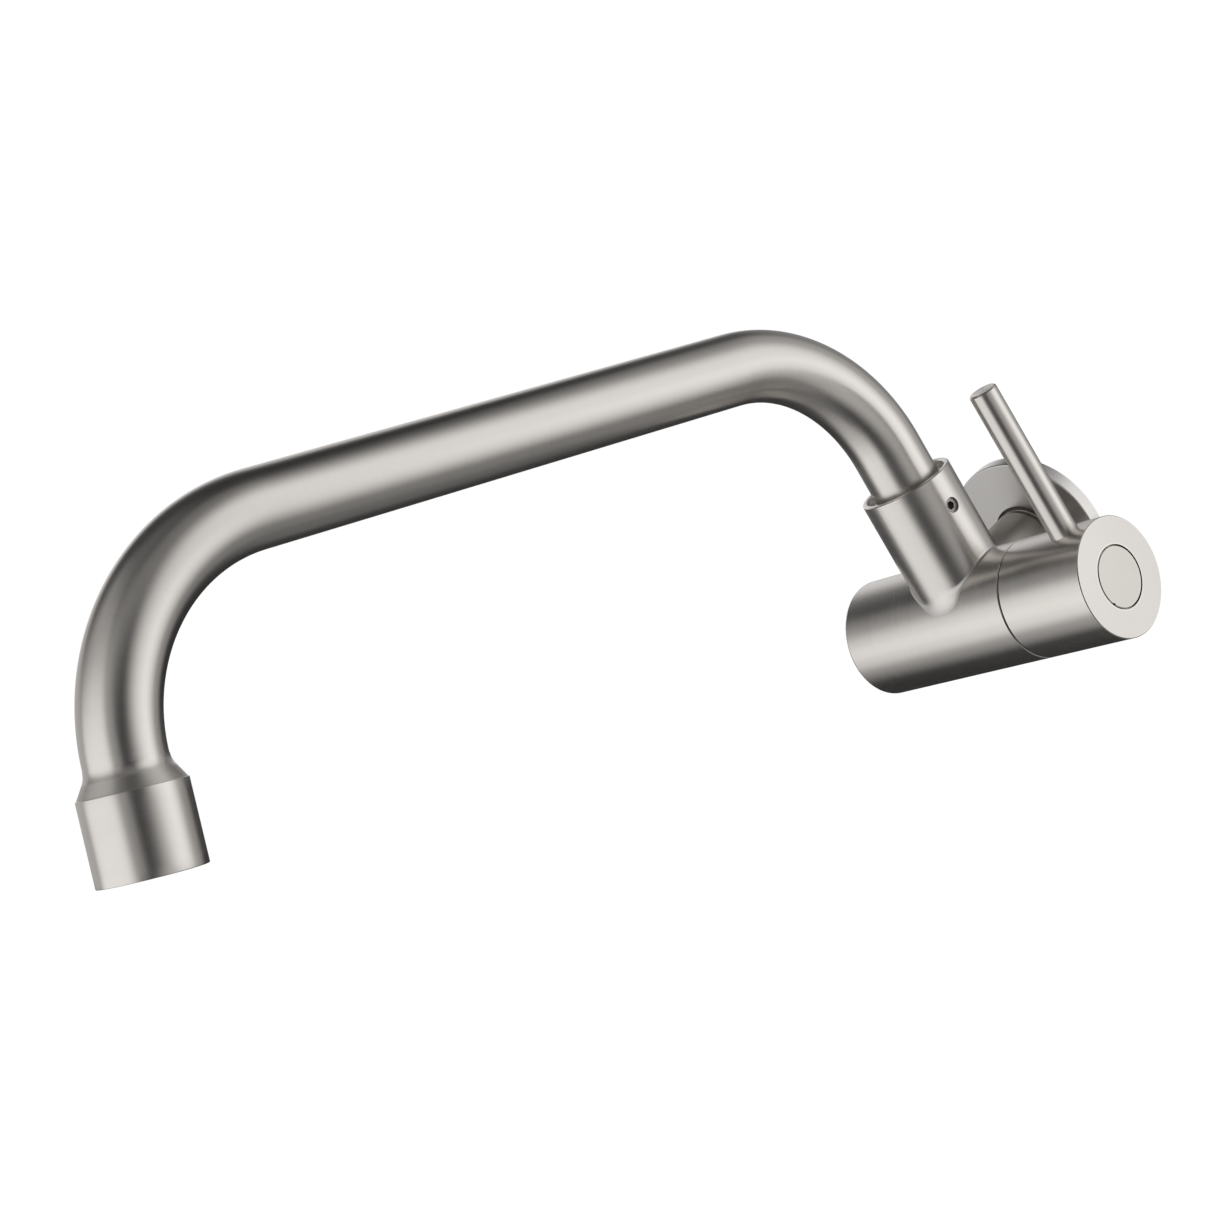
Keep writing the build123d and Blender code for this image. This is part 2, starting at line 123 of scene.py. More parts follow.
def maths(tree, operation, first, second, clamp=False):
    """One Math node on two values, either of which may be a socket."""
    node, = nodes_of(tree, (
        "ShaderNodeMath", {0: first, 1: second}, {"operation": operation, "use_clamp": clamp}))
    return node.outputs[0]


def colour_mix(tree, factor, first, second, blend="MIX"):
    """One Mix node on two colours, either of which may be a socket."""
    node, = nodes_of(tree, (
        "ShaderNodeMix", {"Factor": factor, 6: first, 7: second},
        {"data_type": "RGBA", "blend_type": blend}))
    return node.outputs[2]


def seen_by_camera_or_gloss(tree):
    """1 for camera, glossy and transmission rays, and 0 for the rest."""
    path, = nodes_of(tree, ("ShaderNodeLightPath", {}, {}))
    either = maths(tree, "MAXIMUM", path.outputs["Is Camera Ray"], path.outputs["Is Glossy Ray"])
    return maths(tree, "MAXIMUM", either, path.outputs["Is Transmission Ray"])


world = bpy.data.worlds.new("white_room")
bpy.context.scene.world = world
world.use_nodes = True
room = world.node_tree
room.nodes.clear()
wall_colour = colour_mix(room, seen_by_camera_or_gloss(room), room_light_colour, room_white)
room_light, = nodes_of(room, ("ShaderNodeBackground", {"Color": wall_colour}, {}))
nodes_of(room, ("ShaderNodeOutputWorld", {"Surface": room_light.outputs[0]}, {}))


def grid_mesh(name, grid, closed_rows=False, closed_columns=False, sharp=40):
    """A mesh object from a grid of points (rows, columns, xyz). Quads join neighbours, and the
    last row or column joins the first where that way is closed. Edges sharper than this many
    degrees stay sharp."""
    rows, columns = grid.shape[:2]
    number = np.arange(rows * columns).reshape(rows, columns)
    if closed_rows:
        number = np.vstack([number, number[:1]])
    if closed_columns:
        number = np.hstack([number, number[:, :1]])
    quads = np.stack([number[:-1, :-1], number[:-1, 1:], number[1:, 1:], number[1:, :-1]], -1)
    mesh = bpy.data.meshes.new(name)
    mesh.from_pydata(grid.reshape(-1, 3).tolist(), [], quads.reshape(-1, 4).tolist())
    mesh.shade_smooth()
    mesh.set_sharp_from_angle(angle=math.radians(sharp))
    mesh.update()
    obj = bpy.data.objects.new(name, mesh)
    bpy.context.scene.collection.objects.link(obj)
    return obj


floor = grid_mesh("floor", np.array([
    [[-floor_half, -floor_half, floor_height], [floor_half, -floor_half, floor_height]],
    [[-floor_half, floor_half, floor_height], [floor_half, floor_half, floor_height]],
]))
floor_paint = bpy.data.materials.new("pale_floor")
floor_paint.use_nodes = True
floor_tree = floor_paint.node_tree
floor_tree.nodes.clear()
floor_matt, floor_glow = nodes_of(
    floor_tree,
    ("ShaderNodeBsdfDiffuse", {"Color": floor_colour}, {}),
    ("ShaderNodeEmission", {"Color": floor_glow_colour}, {}))
floor_tree.links.new(seen_by_camera_or_gloss(floor_tree), floor_glow.inputs["Strength"])
floor_sum, = nodes_of(floor_tree, (
    "ShaderNodeAddShader", {0: floor_matt.outputs[0], 1: floor_glow.outputs[0]}, {}))
nodes_of(floor_tree, ("ShaderNodeOutputMaterial", {"Surface": floor_sum.outputs[0]}, {}))
floor.data.materials.append(floor_paint)


def soft_span(value, low, high, low_soft, high_soft):
    """1 between low and high and 0 outside, easing over its own softness on each side of an end."""
    rise = np.clip((value - low) / (2 * low_soft) + 0.5, 0, 1)
    fall = np.clip((high - value) / (2 * high_soft) + 0.5, 0, 1)
    step = np.minimum(rise, fall)
    return step * step * (3 - 2 * step)


def tent_light(azimuth, elevation):
    """Brightness of the tent by direction, in degrees: the dark cloth, or the brightest of the
    soft windows there. The left window stands wider on its near side above the level, and its
    head comes down towards its far side."""
    left_near = -73 + 11 * np.clip((elevation + 5) / 10, 0, 1)
    left_head = 52 - 0.45 * np.clip(-105 - azimuth, 0, 45)
    # Left, right, foot and head, the softness of the sides, the foot and the head, and brightness
    windows = (
        (-147, left_near, -33, left_head, 15, 17, 24, 1.18),  # left of the camera
        (-146, -100, -14, 14, 8, 8, 8, 1.25),  # its bright middle
        (-75, -40, 0, 55, 8, 12, 12, 0.42),  # between it and the camera
        (5, 66, -44, 38, 20, 24, 24, 1.20),  # right of the camera
        (24, 54, -26, 2, 8, 8, 8, 1.40),  # its bright middle
        (-27, 20, -55, -4, 20, 9, 9, 0.64),  # low, between it and the camera
        (60, 94, -45, 38, 12, 14, 12, 0.50),  # its far side
        (98, 124, -14, 22, 9, 8, 8, 0.34),  # behind the tap, right
        (124, 172, -8, 32, 10, 5, 12, 0.90),  # straight behind the tap
        (160, 212, -6, 33, 10, 5, 10, 0.55),  # behind the tap, left
        (196, 282, 25, 76, 14, 10, 10, 0.32),  # high over the left window
        (-150, -68, 40, 70, 10, 12, 8, 0.45),  # the left window's top
        (205, 268, -60, -14, 14, 12, 12, 0.50),  # under the left window
        (-60, 62, 30, 72, 12, 12, 12, 0.22),  # high in front and right
        (-30, 95, -80, -42, 20, 8, 8, 0.27),  # low on the right
        (-400, 400, -400, -60, 1, 1, 8, 0.19),  # the foot, all round
        (-400, 400, 76, 400, 1, 8, 1, 0.13),  # the top, all round
    )
    light = np.full(azimuth.shape, tent_dark)
    for left, right, foot, head, side_soft, foot_soft, head_soft, strength in windows:
        upright_part = soft_span(elevation, foot, head, foot_soft, head_soft)
        for turn in (-360, 0, 360):
            part = soft_span(azimuth + turn, left, right, side_soft, side_soft) * upright_part
            light = np.maximum(light, tent_dark + (strength - tent_dark) * part)
    return light


# The tent is an ellipsoid round the tap, with a point for every degree and a half
tent_azimuth, tent_elevation = np.meshgrid(np.linspace(-180, 180, 241), np.linspace(-90, 90, 121))
tent_turn = np.radians(tent_azimuth)
tent_lift = np.radians(tent_elevation)
tent_aim = np.stack([
    np.cos(tent_lift) * np.cos(tent_turn),
    np.cos(tent_lift) * np.sin(tent_turn),
    np.sin(tent_lift),
], -1)
tent_far = 1 / np.sqrt((np.cos(tent_lift) / tent_reach) ** 2 + (np.sin(tent_lift) / tent_rise) ** 2)
tent = grid_mesh("light_tent", middle + tent_aim * tent_far[..., None])
tent_glow = tent.data.attributes.new("glow", "FLOAT", "POINT")
tent_glow.data.foreach_set("value", tent_light(tent_azimuth, tent_elevation).ravel())
tent.visible_camera = False
tent.visible_diffuse = False
tent.visible_transmission = False
tent.visible_shadow = False
tent_cloth = bpy.data.materials.new("light_tent")
tent_cloth.use_nodes = True
tent_cloth.cycles.emission_sampling = "NONE"
tent_tree = tent_cloth.node_tree
tent_tree.nodes.clear()
tent_value, = nodes_of(tent_tree, ("ShaderNodeAttribute", {}, {"attribute_name": "glow"}))
tent_shine, = nodes_of(tent_tree, ("ShaderNodeEmission", {"Strength": tent_value.outputs["Fac"]}, {}))
nodes_of(tent_tree, ("ShaderNodeOutputMaterial", {"Surface": tent_shine.outputs[0]}, {}))
tent.data.materials.append(tent_cloth)


def soft_light(name, azimuth, elevation, distance, size, watts):
    """A square soft light that faces the tap, for everything but gloss."""
    lamp = bpy.data.lights.new(name, "AREA")
    lamp.size = size
    lamp.energy = watts
    made = bpy.data.objects.new(name, lamp)
    made.visible_glossy = False
    bpy.context.scene.collection.objects.link(made)
    around = math.radians(azimuth)
    rise = math.radians(elevation)
    back = np.array([
        math.cos(rise) * math.cos(around), math.cos(rise) * math.sin(around), math.sin(rise)])
    side = np.cross([0, 0, 1], back)
    side /= np.linalg.norm(side)
    stand_at(made, side, np.cross(back, side), back, middle + back * distance)


soft_light("left_light", azimuth=-105, elevation=50, distance=1.8, size=1.2, watts=9)
soft_light("right_light", azimuth=32, elevation=35, distance=1.8, size=1.2, watts=6)

# Body tube
# A length of stainless tube, brushed round its girth on a belt. Its blind end is rounded over,
# and the other end is faced off square against the turning hub.
tube_low, tube_high = np.array(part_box("body_tube"))
body_axis = (tube_low + tube_high) / 2
body_radius = (tube_high[2] - tube_low[2]) / 2
body_finish = {"roughness": 0.23, "anisotropy": 0.4, "hair_depth": 0.000007}
steel_colour = (0.635, 0.606, 0.574)
hair_fine = 5500.0
hair_long = 45.0
hair_roughness = 0.05
stroke_fine = hair_fine / 7
stroke_long = hair_long / 2
stroke_share = 0.45
stroke_height = 0.8
cloud_size = 38.0
cloud_squeeze = 1.6
cloud_share = 0.55
hair_detail = 3.0
coarse_detail = 2.0
noise_roughness = 0.6
noise_shift = (431.37, 517.61, 389.23)
tone_dark = 0.93
tone_light = 1.07
tone_roughness = 0.10
# Near the rims the steel is rubbed smoother and painted lighter: a painted highlight along the edges.
rim_reach = 0.0006
rim_rub_and_glint_base = 0.25
rim_painted_highlight = 1.22
rim_smoothing = 0.09
lathe_roughness = 0.18
lathe_anisotropy = 0.35
lathe_fade = 0.001
brushed_bump = 0.35
quarter_turn = 0.25


def scaled(tree, value, factor, added):
    """The value times the factor, plus what is added, which may be a socket too."""
    return maths(tree, "ADD", maths(tree, "MULTIPLY", value, factor), added)


def shade(colour, factor):
    """The colour made lighter or darker by a factor, as red, green, blue and alpha."""
    return (*[min(value * factor, 1.0) for value in colour], 1)


def ramp(tree, value, start, end):
    """0 up to start and 1 from end on, with an even climb between. It falls where end comes first."""
    node, = nodes_of(tree, (
        "ShaderNodeMapRange", {"Value": value, "From Min": start, "From Max": end}, {}))
    return node.outputs[0]


def radius_from(tree, where, along):
    """How far a place is from the axis: its length once its part along the axis is left out."""
    flat = [1.0, 1.0, 1.0]
    flat[along] = 0.0
    across, = nodes_of(tree, ("ShaderNodeVectorMath", {0: where, 1: flat}, {"operation": "MULTIPLY"}))
    radius, = nodes_of(tree, ("ShaderNodeVectorMath", {0: across.outputs[0]}, {"operation": "LENGTH"}))
    return radius.outputs["Value"]


def station_of(tree, where, along):
    """How far a place is along the axis."""
    parts, = nodes_of(tree, ("ShaderNodeSeparateXYZ", {0: where}, {}))
    return parts.outputs[along]


def grain_of(tree, where, along, fine, coarse, detail):
    """Noise squeezed along one axis, which draws hairlines across it. It is shifted off the
    origin, where every octave of the noise is flat."""
    stretch = [coarse, coarse, coarse]
    stretch[along] = fine
    squeezed, = nodes_of(tree, (
        "ShaderNodeVectorMath", {0: where, 1: stretch, 2: noise_shift},
        {"operation": "MULTIPLY_ADD"}))
    noise, = nodes_of(tree, (
        "ShaderNodeTexNoise",
        {"Vector": squeezed.outputs[0], "Scale": 1.0, "Detail": detail,
         "Roughness": noise_roughness}, {}))
    return noise.outputs["Fac"]


def edge_of(tree, where, along, rims, reach):
    """1 on the round rims, given as (station, radius), fading to 0 at reach from them. The
    distance is taken in the plane of station and radius."""
    section, = nodes_of(tree, (
        "ShaderNodeCombineXYZ",
        {0: station_of(tree, where, along), 1: radius_from(tree, where, along)}, {}))
    nearest = reach
    for rim_station, rim_radius in rims:
        gap, = nodes_of(tree, (
            "ShaderNodeVectorMath",
            {0: section.outputs[0], 1: (rim_station, rim_radius, 0)}, {"operation": "DISTANCE"}))
        nearest = maths(tree, "MINIMUM", gap.outputs["Value"], nearest)
    return ramp(tree, nearest, reach, 0.0)


def brushing_of(tree, along, centre, drawn):
    """Where the brushing's patterns are read, and which way its hairlines run. That is from the
    piece's centre and round its axis, or, on a drawn piece, along its own surface, from its
    blank attribute and grain UV map."""
    surface = tree.nodes["Principled BSDF"]
    if drawn:
        spot, grain = nodes_of(
            tree,
            ("ShaderNodeAttribute", {}, {"attribute_name": "blank"}),
            ("ShaderNodeTangent", {}, {"direction_type": "UV_MAP", "uv_map": "grain"}))
        where = spot.outputs["Vector"]
    else:
        spot, grain = nodes_of(
            tree,
            ("ShaderNodeTexCoord", {}, {}),
            ("ShaderNodeTangent", {}, {"direction_type": "RADIAL", "axis": "XYZ"[along]}))
        centred, = nodes_of(tree, (
            "ShaderNodeMapping",
            {"Vector": spot.outputs["Object"], "Location": [-value for value in centre]}, {}))
        where = centred.outputs[0]
        surface.inputs["Anisotropic Rotation"].default_value = quarter_turn
    tree.links.new(grain.outputs[0], surface.inputs["Tangent"])
    return where


def lathe_rings(tree, where, along, turned):
    """1 between the two stations in turned and 0 outside. It comes in quickly at the first and
    fades out over lathe_fade before the second."""
    station = station_of(tree, where, along)
    start, end = turned
    begun = ramp(tree, station, start, start + lathe_fade / 4)
    not_ended = ramp(tree, station, end, end - lathe_fade)
    return maths(tree, "MINIMUM", begun, not_ended)


def brushed_steel(name, along, centre=(0, 0, 0), rims=(), roughness=0.27, colour=steel_colour,
                  anisotropy=0.6, drawn=False, hair_depth=0.00002, turned=()):
    """Metal brushed round an axis. Clouds and broad strokes vary its colour and roughness, fine
    hairlines vary its roughness too, strokes and hairlines stand up in bump, and its rims are
    rubbed smoother and painted lighter, a painted highlight along the edges. Between the stations
    in turned it keeps the coarser rings of the lathe."""
    made = bpy.data.materials.new(name)
    made.use_nodes = True
    tree = made.node_tree
    surface = tree.nodes["Principled BSDF"]
    surface.inputs["Metallic"].default_value = 1.0
    surface.inputs["Anisotropic"].default_value = anisotropy
    where = brushing_of(tree, along, centre, drawn)
    hairs = grain_of(tree, where, along, hair_fine, hair_long, hair_detail)
    strokes = grain_of(tree, where, along, stroke_fine, stroke_long, coarse_detail)
    clouds = grain_of(tree, where, along, cloud_size * cloud_squeeze, cloud_size, coarse_detail)
    tone = scaled(tree, clouds, cloud_share, maths(tree, "MULTIPLY", strokes, stroke_share))
    paint = colour_mix(tree, tone, shade(colour, tone_dark), shade(colour, tone_light))
    rough = scaled(tree, tone, tone_roughness, roughness - tone_roughness / 2)
    rough = scaled(tree, hairs, hair_roughness, rough)
    # Near the rims the roughness drops, as on rubbed steel, and the colour is mixed towards a lighter
    # shade, a painted highlight.
    if rims:
        near_rim = edge_of(tree, where, along, rims, rim_reach)
        rub_and_glint = maths(tree, "MULTIPLY", near_rim, maths(tree, "ADD", strokes, rim_rub_and_glint_base), clamp=True)
        paint = colour_mix(tree, rub_and_glint, paint, shade(colour, rim_painted_highlight))
        rough = maths(tree, "SUBTRACT", rough, maths(tree, "MULTIPLY", rub_and_glint, rim_smoothing))
    if turned:
        rings = lathe_rings(tree, where, along, turned)
        rough = scaled(tree, rings, lathe_roughness, rough)
        tree.links.new(
            scaled(tree, rings, lathe_anisotropy, anisotropy), surface.inputs["Anisotropic"])
    tree.links.new(paint, surface.inputs["Base Color"])
    tree.links.new(rough, surface.inputs["Roughness"])
    bump, = nodes_of(tree, (
        "ShaderNodeBump",
        {"Height": scaled(tree, strokes, stroke_height, hairs), "Strength": brushed_bump,
         "Distance": hair_depth}, {}))
    tree.links.new(bump.outputs[0], surface.inputs["Normal"])
    return made


def dress(material, *names):
    """Gives these carried-over nodes this material."""
    for name in names:
        for slot in frame["nodes"][name].material_slots:
            slot.material = material


dress(brushed_steel(
    "body_steel", 0, (0, body_axis[1], 0),
    rims=((tube_low[0], body_radius), (tube_high[0], body_radius)), **body_finish), "body_tube")
dress(brushed_steel("end_plug_steel", 0, (0, body_axis[1], 0), roughness=0.34), "body_end_plug")

# Inlet branch
# A stainless tube welded into the back of the body, turned down for a small ring at the flange
# and cut with a half-inch pipe thread, whose turns show from behind.
branch_low, branch_high = np.array(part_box("inlet_branch"))
branch_radius = (branch_high[0] - branch_low[0]) / 2
branch_bore = 0.007
branch_root = 0.0175
branch_end = -0.0075
# The branch's darker colour is painted shade, for the dark gap between the body and the flange where it
# sits.
branch_painted_shade_colour = (0.50, 0.475, 0.448)
ring_radius = 0.0108
ring_span = (-0.0055, -0.0043)
ring_edge = 0.0002
relief_radius = 0.0093
thread_radius = 0.0104775
thread_start = -0.002
thread_end = 0.015
thread_pitch = 0.0254 / 14
thread_depth = 0.00116
thread_crest = 0.12
thread_flank = 0.76
thread_rounding = 0.3
thread_run_out = 1.7
rows_per_turn = 16
branch_sides = 128
last_row_room = 1e-9
around_branch = np.linspace(0, 2 * math.pi, branch_sides, endpoint=False)


def thread_surface(station, turn):
    """Radius of the pipe thread: the major radius less a depth that eases from crest to root and
    back once a pitch, shifted by one pitch a turn, cut down at both ends by cones. The crest and
    the flank are given as shares of half a pitch."""
    phase = (station / thread_pitch - turn / (2 * math.pi)) % 1
    down = np.clip((np.abs(phase - 0.5) * 2 - thread_crest) / thread_flank, 0, 1)
    smooth = down * down * (3 - 2 * down)
    cut = thread_radius - thread_depth * (down * (1 - thread_rounding) + smooth * thread_rounding)
    lead_out = relief_radius + (station - thread_start) * thread_run_out
    lead_in = thread_radius - (station - thread_end)
    return np.minimum(np.minimum(cut, np.maximum(lead_out, relief_radius)), lead_in)


def branch_root_at(radius):
    """Station where a tube of this radius enters the middle of the body's wall."""
    return body_axis[1] + np.sqrt(branch_root ** 2 - (radius * np.sin(around_branch)) ** 2)


branch_profile = [(branch_radius, branch_root_at(branch_radius))]
for radius, station in (
    (branch_radius, branch_end - ring_edge),
    (branch_radius - ring_edge, branch_end),
    (relief_radius, branch_end),
    (relief_radius, ring_span[0]),
    (ring_radius - ring_edge, ring_span[0]),
    (ring_radius, ring_span[0] + ring_edge),
    (ring_radius, ring_span[1] - ring_edge),
    (ring_radius - ring_edge, ring_span[1]),
    (relief_radius, ring_span[1]),
):
    branch_profile.append((radius, np.full_like(around_branch, station)))
for station in np.arange(thread_start, branch_high[1] + last_row_room, thread_pitch / rows_per_turn):
    branch_profile.append((thread_surface(station, around_branch), np.full_like(around_branch, station)))
branch_profile.append((branch_bore, np.full_like(around_branch, branch_high[1])))
branch_profile.append((branch_bore, branch_root_at(branch_bore)))
branch_grid = np.stack([
    np.stack([radius * np.cos(around_branch), station, radius * np.sin(around_branch)], -1)
    for radius, station in branch_profile])
inlet = grid_mesh("threaded_inlet", branch_grid, closed_rows=True, closed_columns=True, sharp=32)
# The inlet's darker colour is painted shade.
inlet.data.materials.append(brushed_steel(
    "inlet_steel", 1,
    rims=((branch_end, branch_radius), (ring_span[0], ring_radius), (ring_span[1], ring_radius)),
    roughness=0.34, colour=branch_painted_shade_colour))
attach(inlet, "tap_body")
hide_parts("inlet_branch")

# Welds
# Beads of weld join the branch and the upright socket to the body. They are ground to hollow
# fillets by hand, so their radius wanders a little, and they show less grain than the tubes.
weld_sink = 0.0006
weld_narrowness = 14
weld_wander = ((3, 0.04, 0.6), (5, 0.03, 2.0))
weld_columns = 240
weld_rows = 15
weld_steel = brushed_steel(
    "weld_steel", 0, (0, body_axis[1], 0), roughness=0.31, anisotropy=0.15,
    colour=(0.64, 0.618, 0.592))


def weld_fillet(name, centre, radius, flank, nose, fullest, around, outward):
    """A fillet between the body tube and a tube that leaves it along the axis outward. A ball
    rolls in the corner and grows from the radius flank to the radius nose, at the turn fullest
    and opposite it, as a high power of the cosine from there, and wanders in a few waves a turn.
    Its centre lies one ball radius off both tubes, and the surface is the arc between the points
    where it touches them, sunk a little at both ends."""
    turn = np.linspace(0, 2 * math.pi, weld_columns, endpoint=False)
    wander = 1
    for waves, share, shift in weld_wander:
        wander = wander + share * np.sin(waves * turn + shift)
    size = (flank + (nose - flank) * np.cos(turn - fullest) ** weld_narrowness) * wander
    off = radius + size
    sideways = off * np.sin(turn)
    lift = np.sqrt((body_radius + size) ** 2 - sideways ** 2)

    def place(along, across, out):
        """Turns places along the body, across it and outwards into points x, y, z."""
        point = np.zeros(turn.shape + (3,))
        point[:, 0] = along
        point[:, around] = across
        point[:, outward] = out
        return point

    heart = place(off * np.cos(turn), sideways, lift)
    to_tube = place(-np.cos(turn), -np.sin(turn), 0)
    to_body = place(0, -sideways, -lift) / (body_radius + size)[:, None]
    swing = np.arccos(np.clip((to_tube * to_body).sum(-1), -1, 1))[:, None]
    sunk = (size + weld_sink)[:, None]
    rows = [heart + sunk * to_tube]
    for share in np.linspace(0, 1, weld_rows):
        aim = (np.sin((1 - share) * swing) * to_tube + np.sin(share * swing) * to_body) / np.sin(swing)
        rows.append(heart + size[:, None] * aim)
    rows.append(heart + sunk * to_body)
    rows.append(heart + sunk * (to_tube + to_body))
    bead = grid_mesh(name, np.stack(rows) + centre, closed_rows=True, closed_columns=True)
    bead.data.materials.append(weld_steel)
    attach(bead, "tap_body")


weld_fillet(
    "inlet_weld", np.array([0, body_axis[1], 0]), branch_radius, flank=0.0016, nose=0.0030,
    fullest=math.pi / 2, around=2, outward=1)

# Wall flange
# A cup pressed from stainless sheet that hides the hole in the wall. Its face is painted darker,
# a painted shade and reflection of the tap in front of it, and its outside is painted lighter, a
# painted highlight. It is loose on the branch, and a rubber gasket behind its face seals the thread at
# the wall.
flange_low, flange_high = np.array(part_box("wall_flange"))
flange_radius = (flange_high[0] - flange_low[0]) / 2
# Painted shade: the flange face's colour is multiplied by this grey, for the shade and dark reflection of
# the tap in front of it.
flange_face_painted_shade = (0.66, 0.655, 0.65, 1)
face_shade_outer_depth = 0.0001
face_shade_inner_depth = 0.0006
moulded_dark = 0.88
moulded_light = 1.08
moulded_clouds = 160.0
stipple_detail = 4.0
stipple_roughness = 0.16
stipple_bump = 0.5
# The flange's steel colour is lighter than the rest: a painted highlight on its outside.
flange_steel = brushed_steel(
    "flange_steel", 1, rims=((flange_high[1], flange_radius),), anisotropy=0.35,
    colour=(0.70, 0.682, 0.66))
flange_tree = flange_steel.node_tree
flange_paint = flange_tree.nodes["Principled BSDF"].inputs["Base Color"]
flange_place, = nodes_of(flange_tree, ("ShaderNodeTexCoord", {}, {}))
# The painted shade covers the face and fades out just inside the rim.
flange_inner = ramp(
    flange_tree, radius_from(flange_tree, flange_place.outputs["Object"], 1),
    flange_radius - face_shade_outer_depth, flange_radius - face_shade_inner_depth)
flange_shaded_paint = colour_mix(
    flange_tree, flange_inner, flange_paint.links[0].from_socket, flange_face_painted_shade, "MULTIPLY")
flange_tree.links.new(flange_shaded_paint, flange_paint)
dress(flange_steel, "wall_flange")


def moulded(name, colour, roughness, grain, depth, gloss=0.5):
    """A moulded or cast material: fine noise stipples it and clouds vary its tone."""
    made = bpy.data.materials.new(name)
    made.use_nodes = True
    tree = made.node_tree
    surface = tree.nodes["Principled BSDF"]
    surface.inputs["Specular IOR Level"].default_value = gloss
    where, = nodes_of(tree, ("ShaderNodeTexCoord", {}, {}))
    spot = where.outputs["Object"]
    fine, clouds = nodes_of(
        tree,
        ("ShaderNodeTexNoise", {"Vector": spot, "Scale": grain, "Detail": stipple_detail}, {}),
        ("ShaderNodeTexNoise",
         {"Vector": spot, "Scale": moulded_clouds, "Detail": coarse_detail}, {}))
    stipple = fine.outputs["Fac"]
    tint = colour_mix(
        tree, clouds.outputs["Fac"], shade(colour, moulded_dark), shade(colour, moulded_light))
    rough = scaled(tree, stipple, stipple_roughness, roughness - stipple_roughness / 2)
    bump, = nodes_of(tree, (
        "ShaderNodeBump", {"Height": stipple, "Strength": stipple_bump, "Distance": depth}, {}))
    tree.links.new(tint, surface.inputs["Base Color"])
    tree.links.new(rough, surface.inputs["Roughness"])
    tree.links.new(bump.outputs[0], surface.inputs["Normal"])
    return made


dress(moulded(
    "grey_rubber", (0.125, 0.118, 0.110), roughness=0.62, grain=2400.0, depth=0.00002, gloss=0.35),
    "inlet_gasket")

# Spout socket
# A short upright tube, coped to the body and welded on, then brushed round its girth. A white
# bush in its mouth steadies the pipe, and a grub screw in its side keeps the spout in.
socket_low, socket_high = np.array(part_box("spout_socket"))
socket_axis = (socket_low + socket_high) / 2
socket_radius = (socket_high[0] - socket_low[0]) / 2
socket_lip = 0.0016
dress(brushed_steel(
    "socket_steel", 2, (socket_axis[0], socket_axis[1], 0),
    rims=((socket_high[2], socket_radius), (socket_high[2], socket_radius - socket_lip))),
    "spout_socket")
weld_fillet(
    "socket_weld", np.array([socket_axis[0], body_axis[1], 0]), socket_radius, flank=0.0008,
    nose=0.0120, fullest=math.radians(-83), around=1, outward=2)
dress(brushed_steel(
    "grub_screw_steel", 0, roughness=0.36, anisotropy=0.2, colour=(0.30, 0.288, 0.275)),
    "socket_grub_screw")
white_plastic = moulded(
    "white_acetal", (0.80, 0.80, 0.77), roughness=0.42, grain=2600.0, depth=0.00001)
dress(white_plastic, "spout_bush", "thrust_washer")

# Headwork
# The quarter-turn valve: a brass body screwed into a ring in the body tube, two lapped ceramic
# discs, a brass spindle with its stop, and rubber seals. It stops the water at the seat.
turned_steel = brushed_steel("turned_steel", 0, roughness=0.24, anisotropy=0.3)
brass = brushed_steel(
    "turned_brass", 0, (0, body_axis[1], 0), roughness=0.26, anisotropy=0.3,
    colour=(0.78, 0.58, 0.28))
ceramic = moulded(
    "lapped_ceramic", (0.86, 0.84, 0.79), roughness=0.24, grain=5200.0, depth=0.000003)
rubber = moulded(
    "black_rubber", (0.030, 0.030, 0.031), roughness=0.58, grain=3200.0, depth=0.00002, gloss=0.35)
dress(turned_steel, "valve_seat", "headwork_ring", "spindle_circlip")
dress(brass, "headwork_body", "spindle")
dress(rubber, "headwork_gasket", "seat_seal", "spindle_o_rings")
dress(ceramic, "fixed_disc", "moving_disc")

# Handle
# The hub is a cup turned from bar to the body's diameter, with its end faced and brushed. The
# round lever is screwed into it, and a thin polished button snaps over the screw in its end.
hub_low, hub_high = np.array(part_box("handle_hub"))
button_low, button_high = np.array(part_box("button_cap"))
lever_low, lever_high = np.array(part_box("lever_rod"))
button_radius = (button_high[2] - button_low[2]) / 2
button_groove = 0.0004
lever_rim_radius = 0.0042
dress(brushed_steel(
    "hub_steel", 0, (0, body_axis[1], 0),
    rims=(
        (hub_low[0], body_radius), (hub_high[0], body_radius),
        (hub_high[0], button_radius + button_groove)),
    **body_finish), "handle_hub")
dress(brushed_steel(
    "lever_steel", 2, ((lever_low[0] + lever_high[0]) / 2, body_axis[1], 0),
    rims=((lever_high[2], lever_rim_radius),), hair_depth=0.000012), "lever_rod")
dress(brushed_steel(
    "button_steel", 0, (0, body_axis[1], 0), rims=((button_high[0], button_radius),),
    roughness=0.22, anisotropy=0.2, colour=(0.578, 0.553, 0.518), hair_depth=0.000008), "button_cap")
dress(turned_steel, "hub_screw")

# Spout pipe
# A 22 mm stainless tube, brushed round its girth and then drawn round two formers: a riser, a
# bend, a long run that still climbs, a second bend and a last leg into the collar.
spout_pivot = frame["record"]["behaviour"]["joints"][0]["pos_m"]
pipe_radius = 0.01107
pipe_bore = 0.00995
pipe_swing = math.radians(-94.8)
pipe_sides = 96
riser_foot = 0.0435
riser_top = 0.0607
first_bend = (0.0529, math.radians(73.6))
run_length = 0.1694
second_bend = (0.0570, math.radians(84.9))
last_leg = 0.0295
leg_in_collar = 0.0165
riser_stations = 5
first_stations = 50
run_stations = 24
second_stations = 58
leg_stations = 4
grain_scale = 10


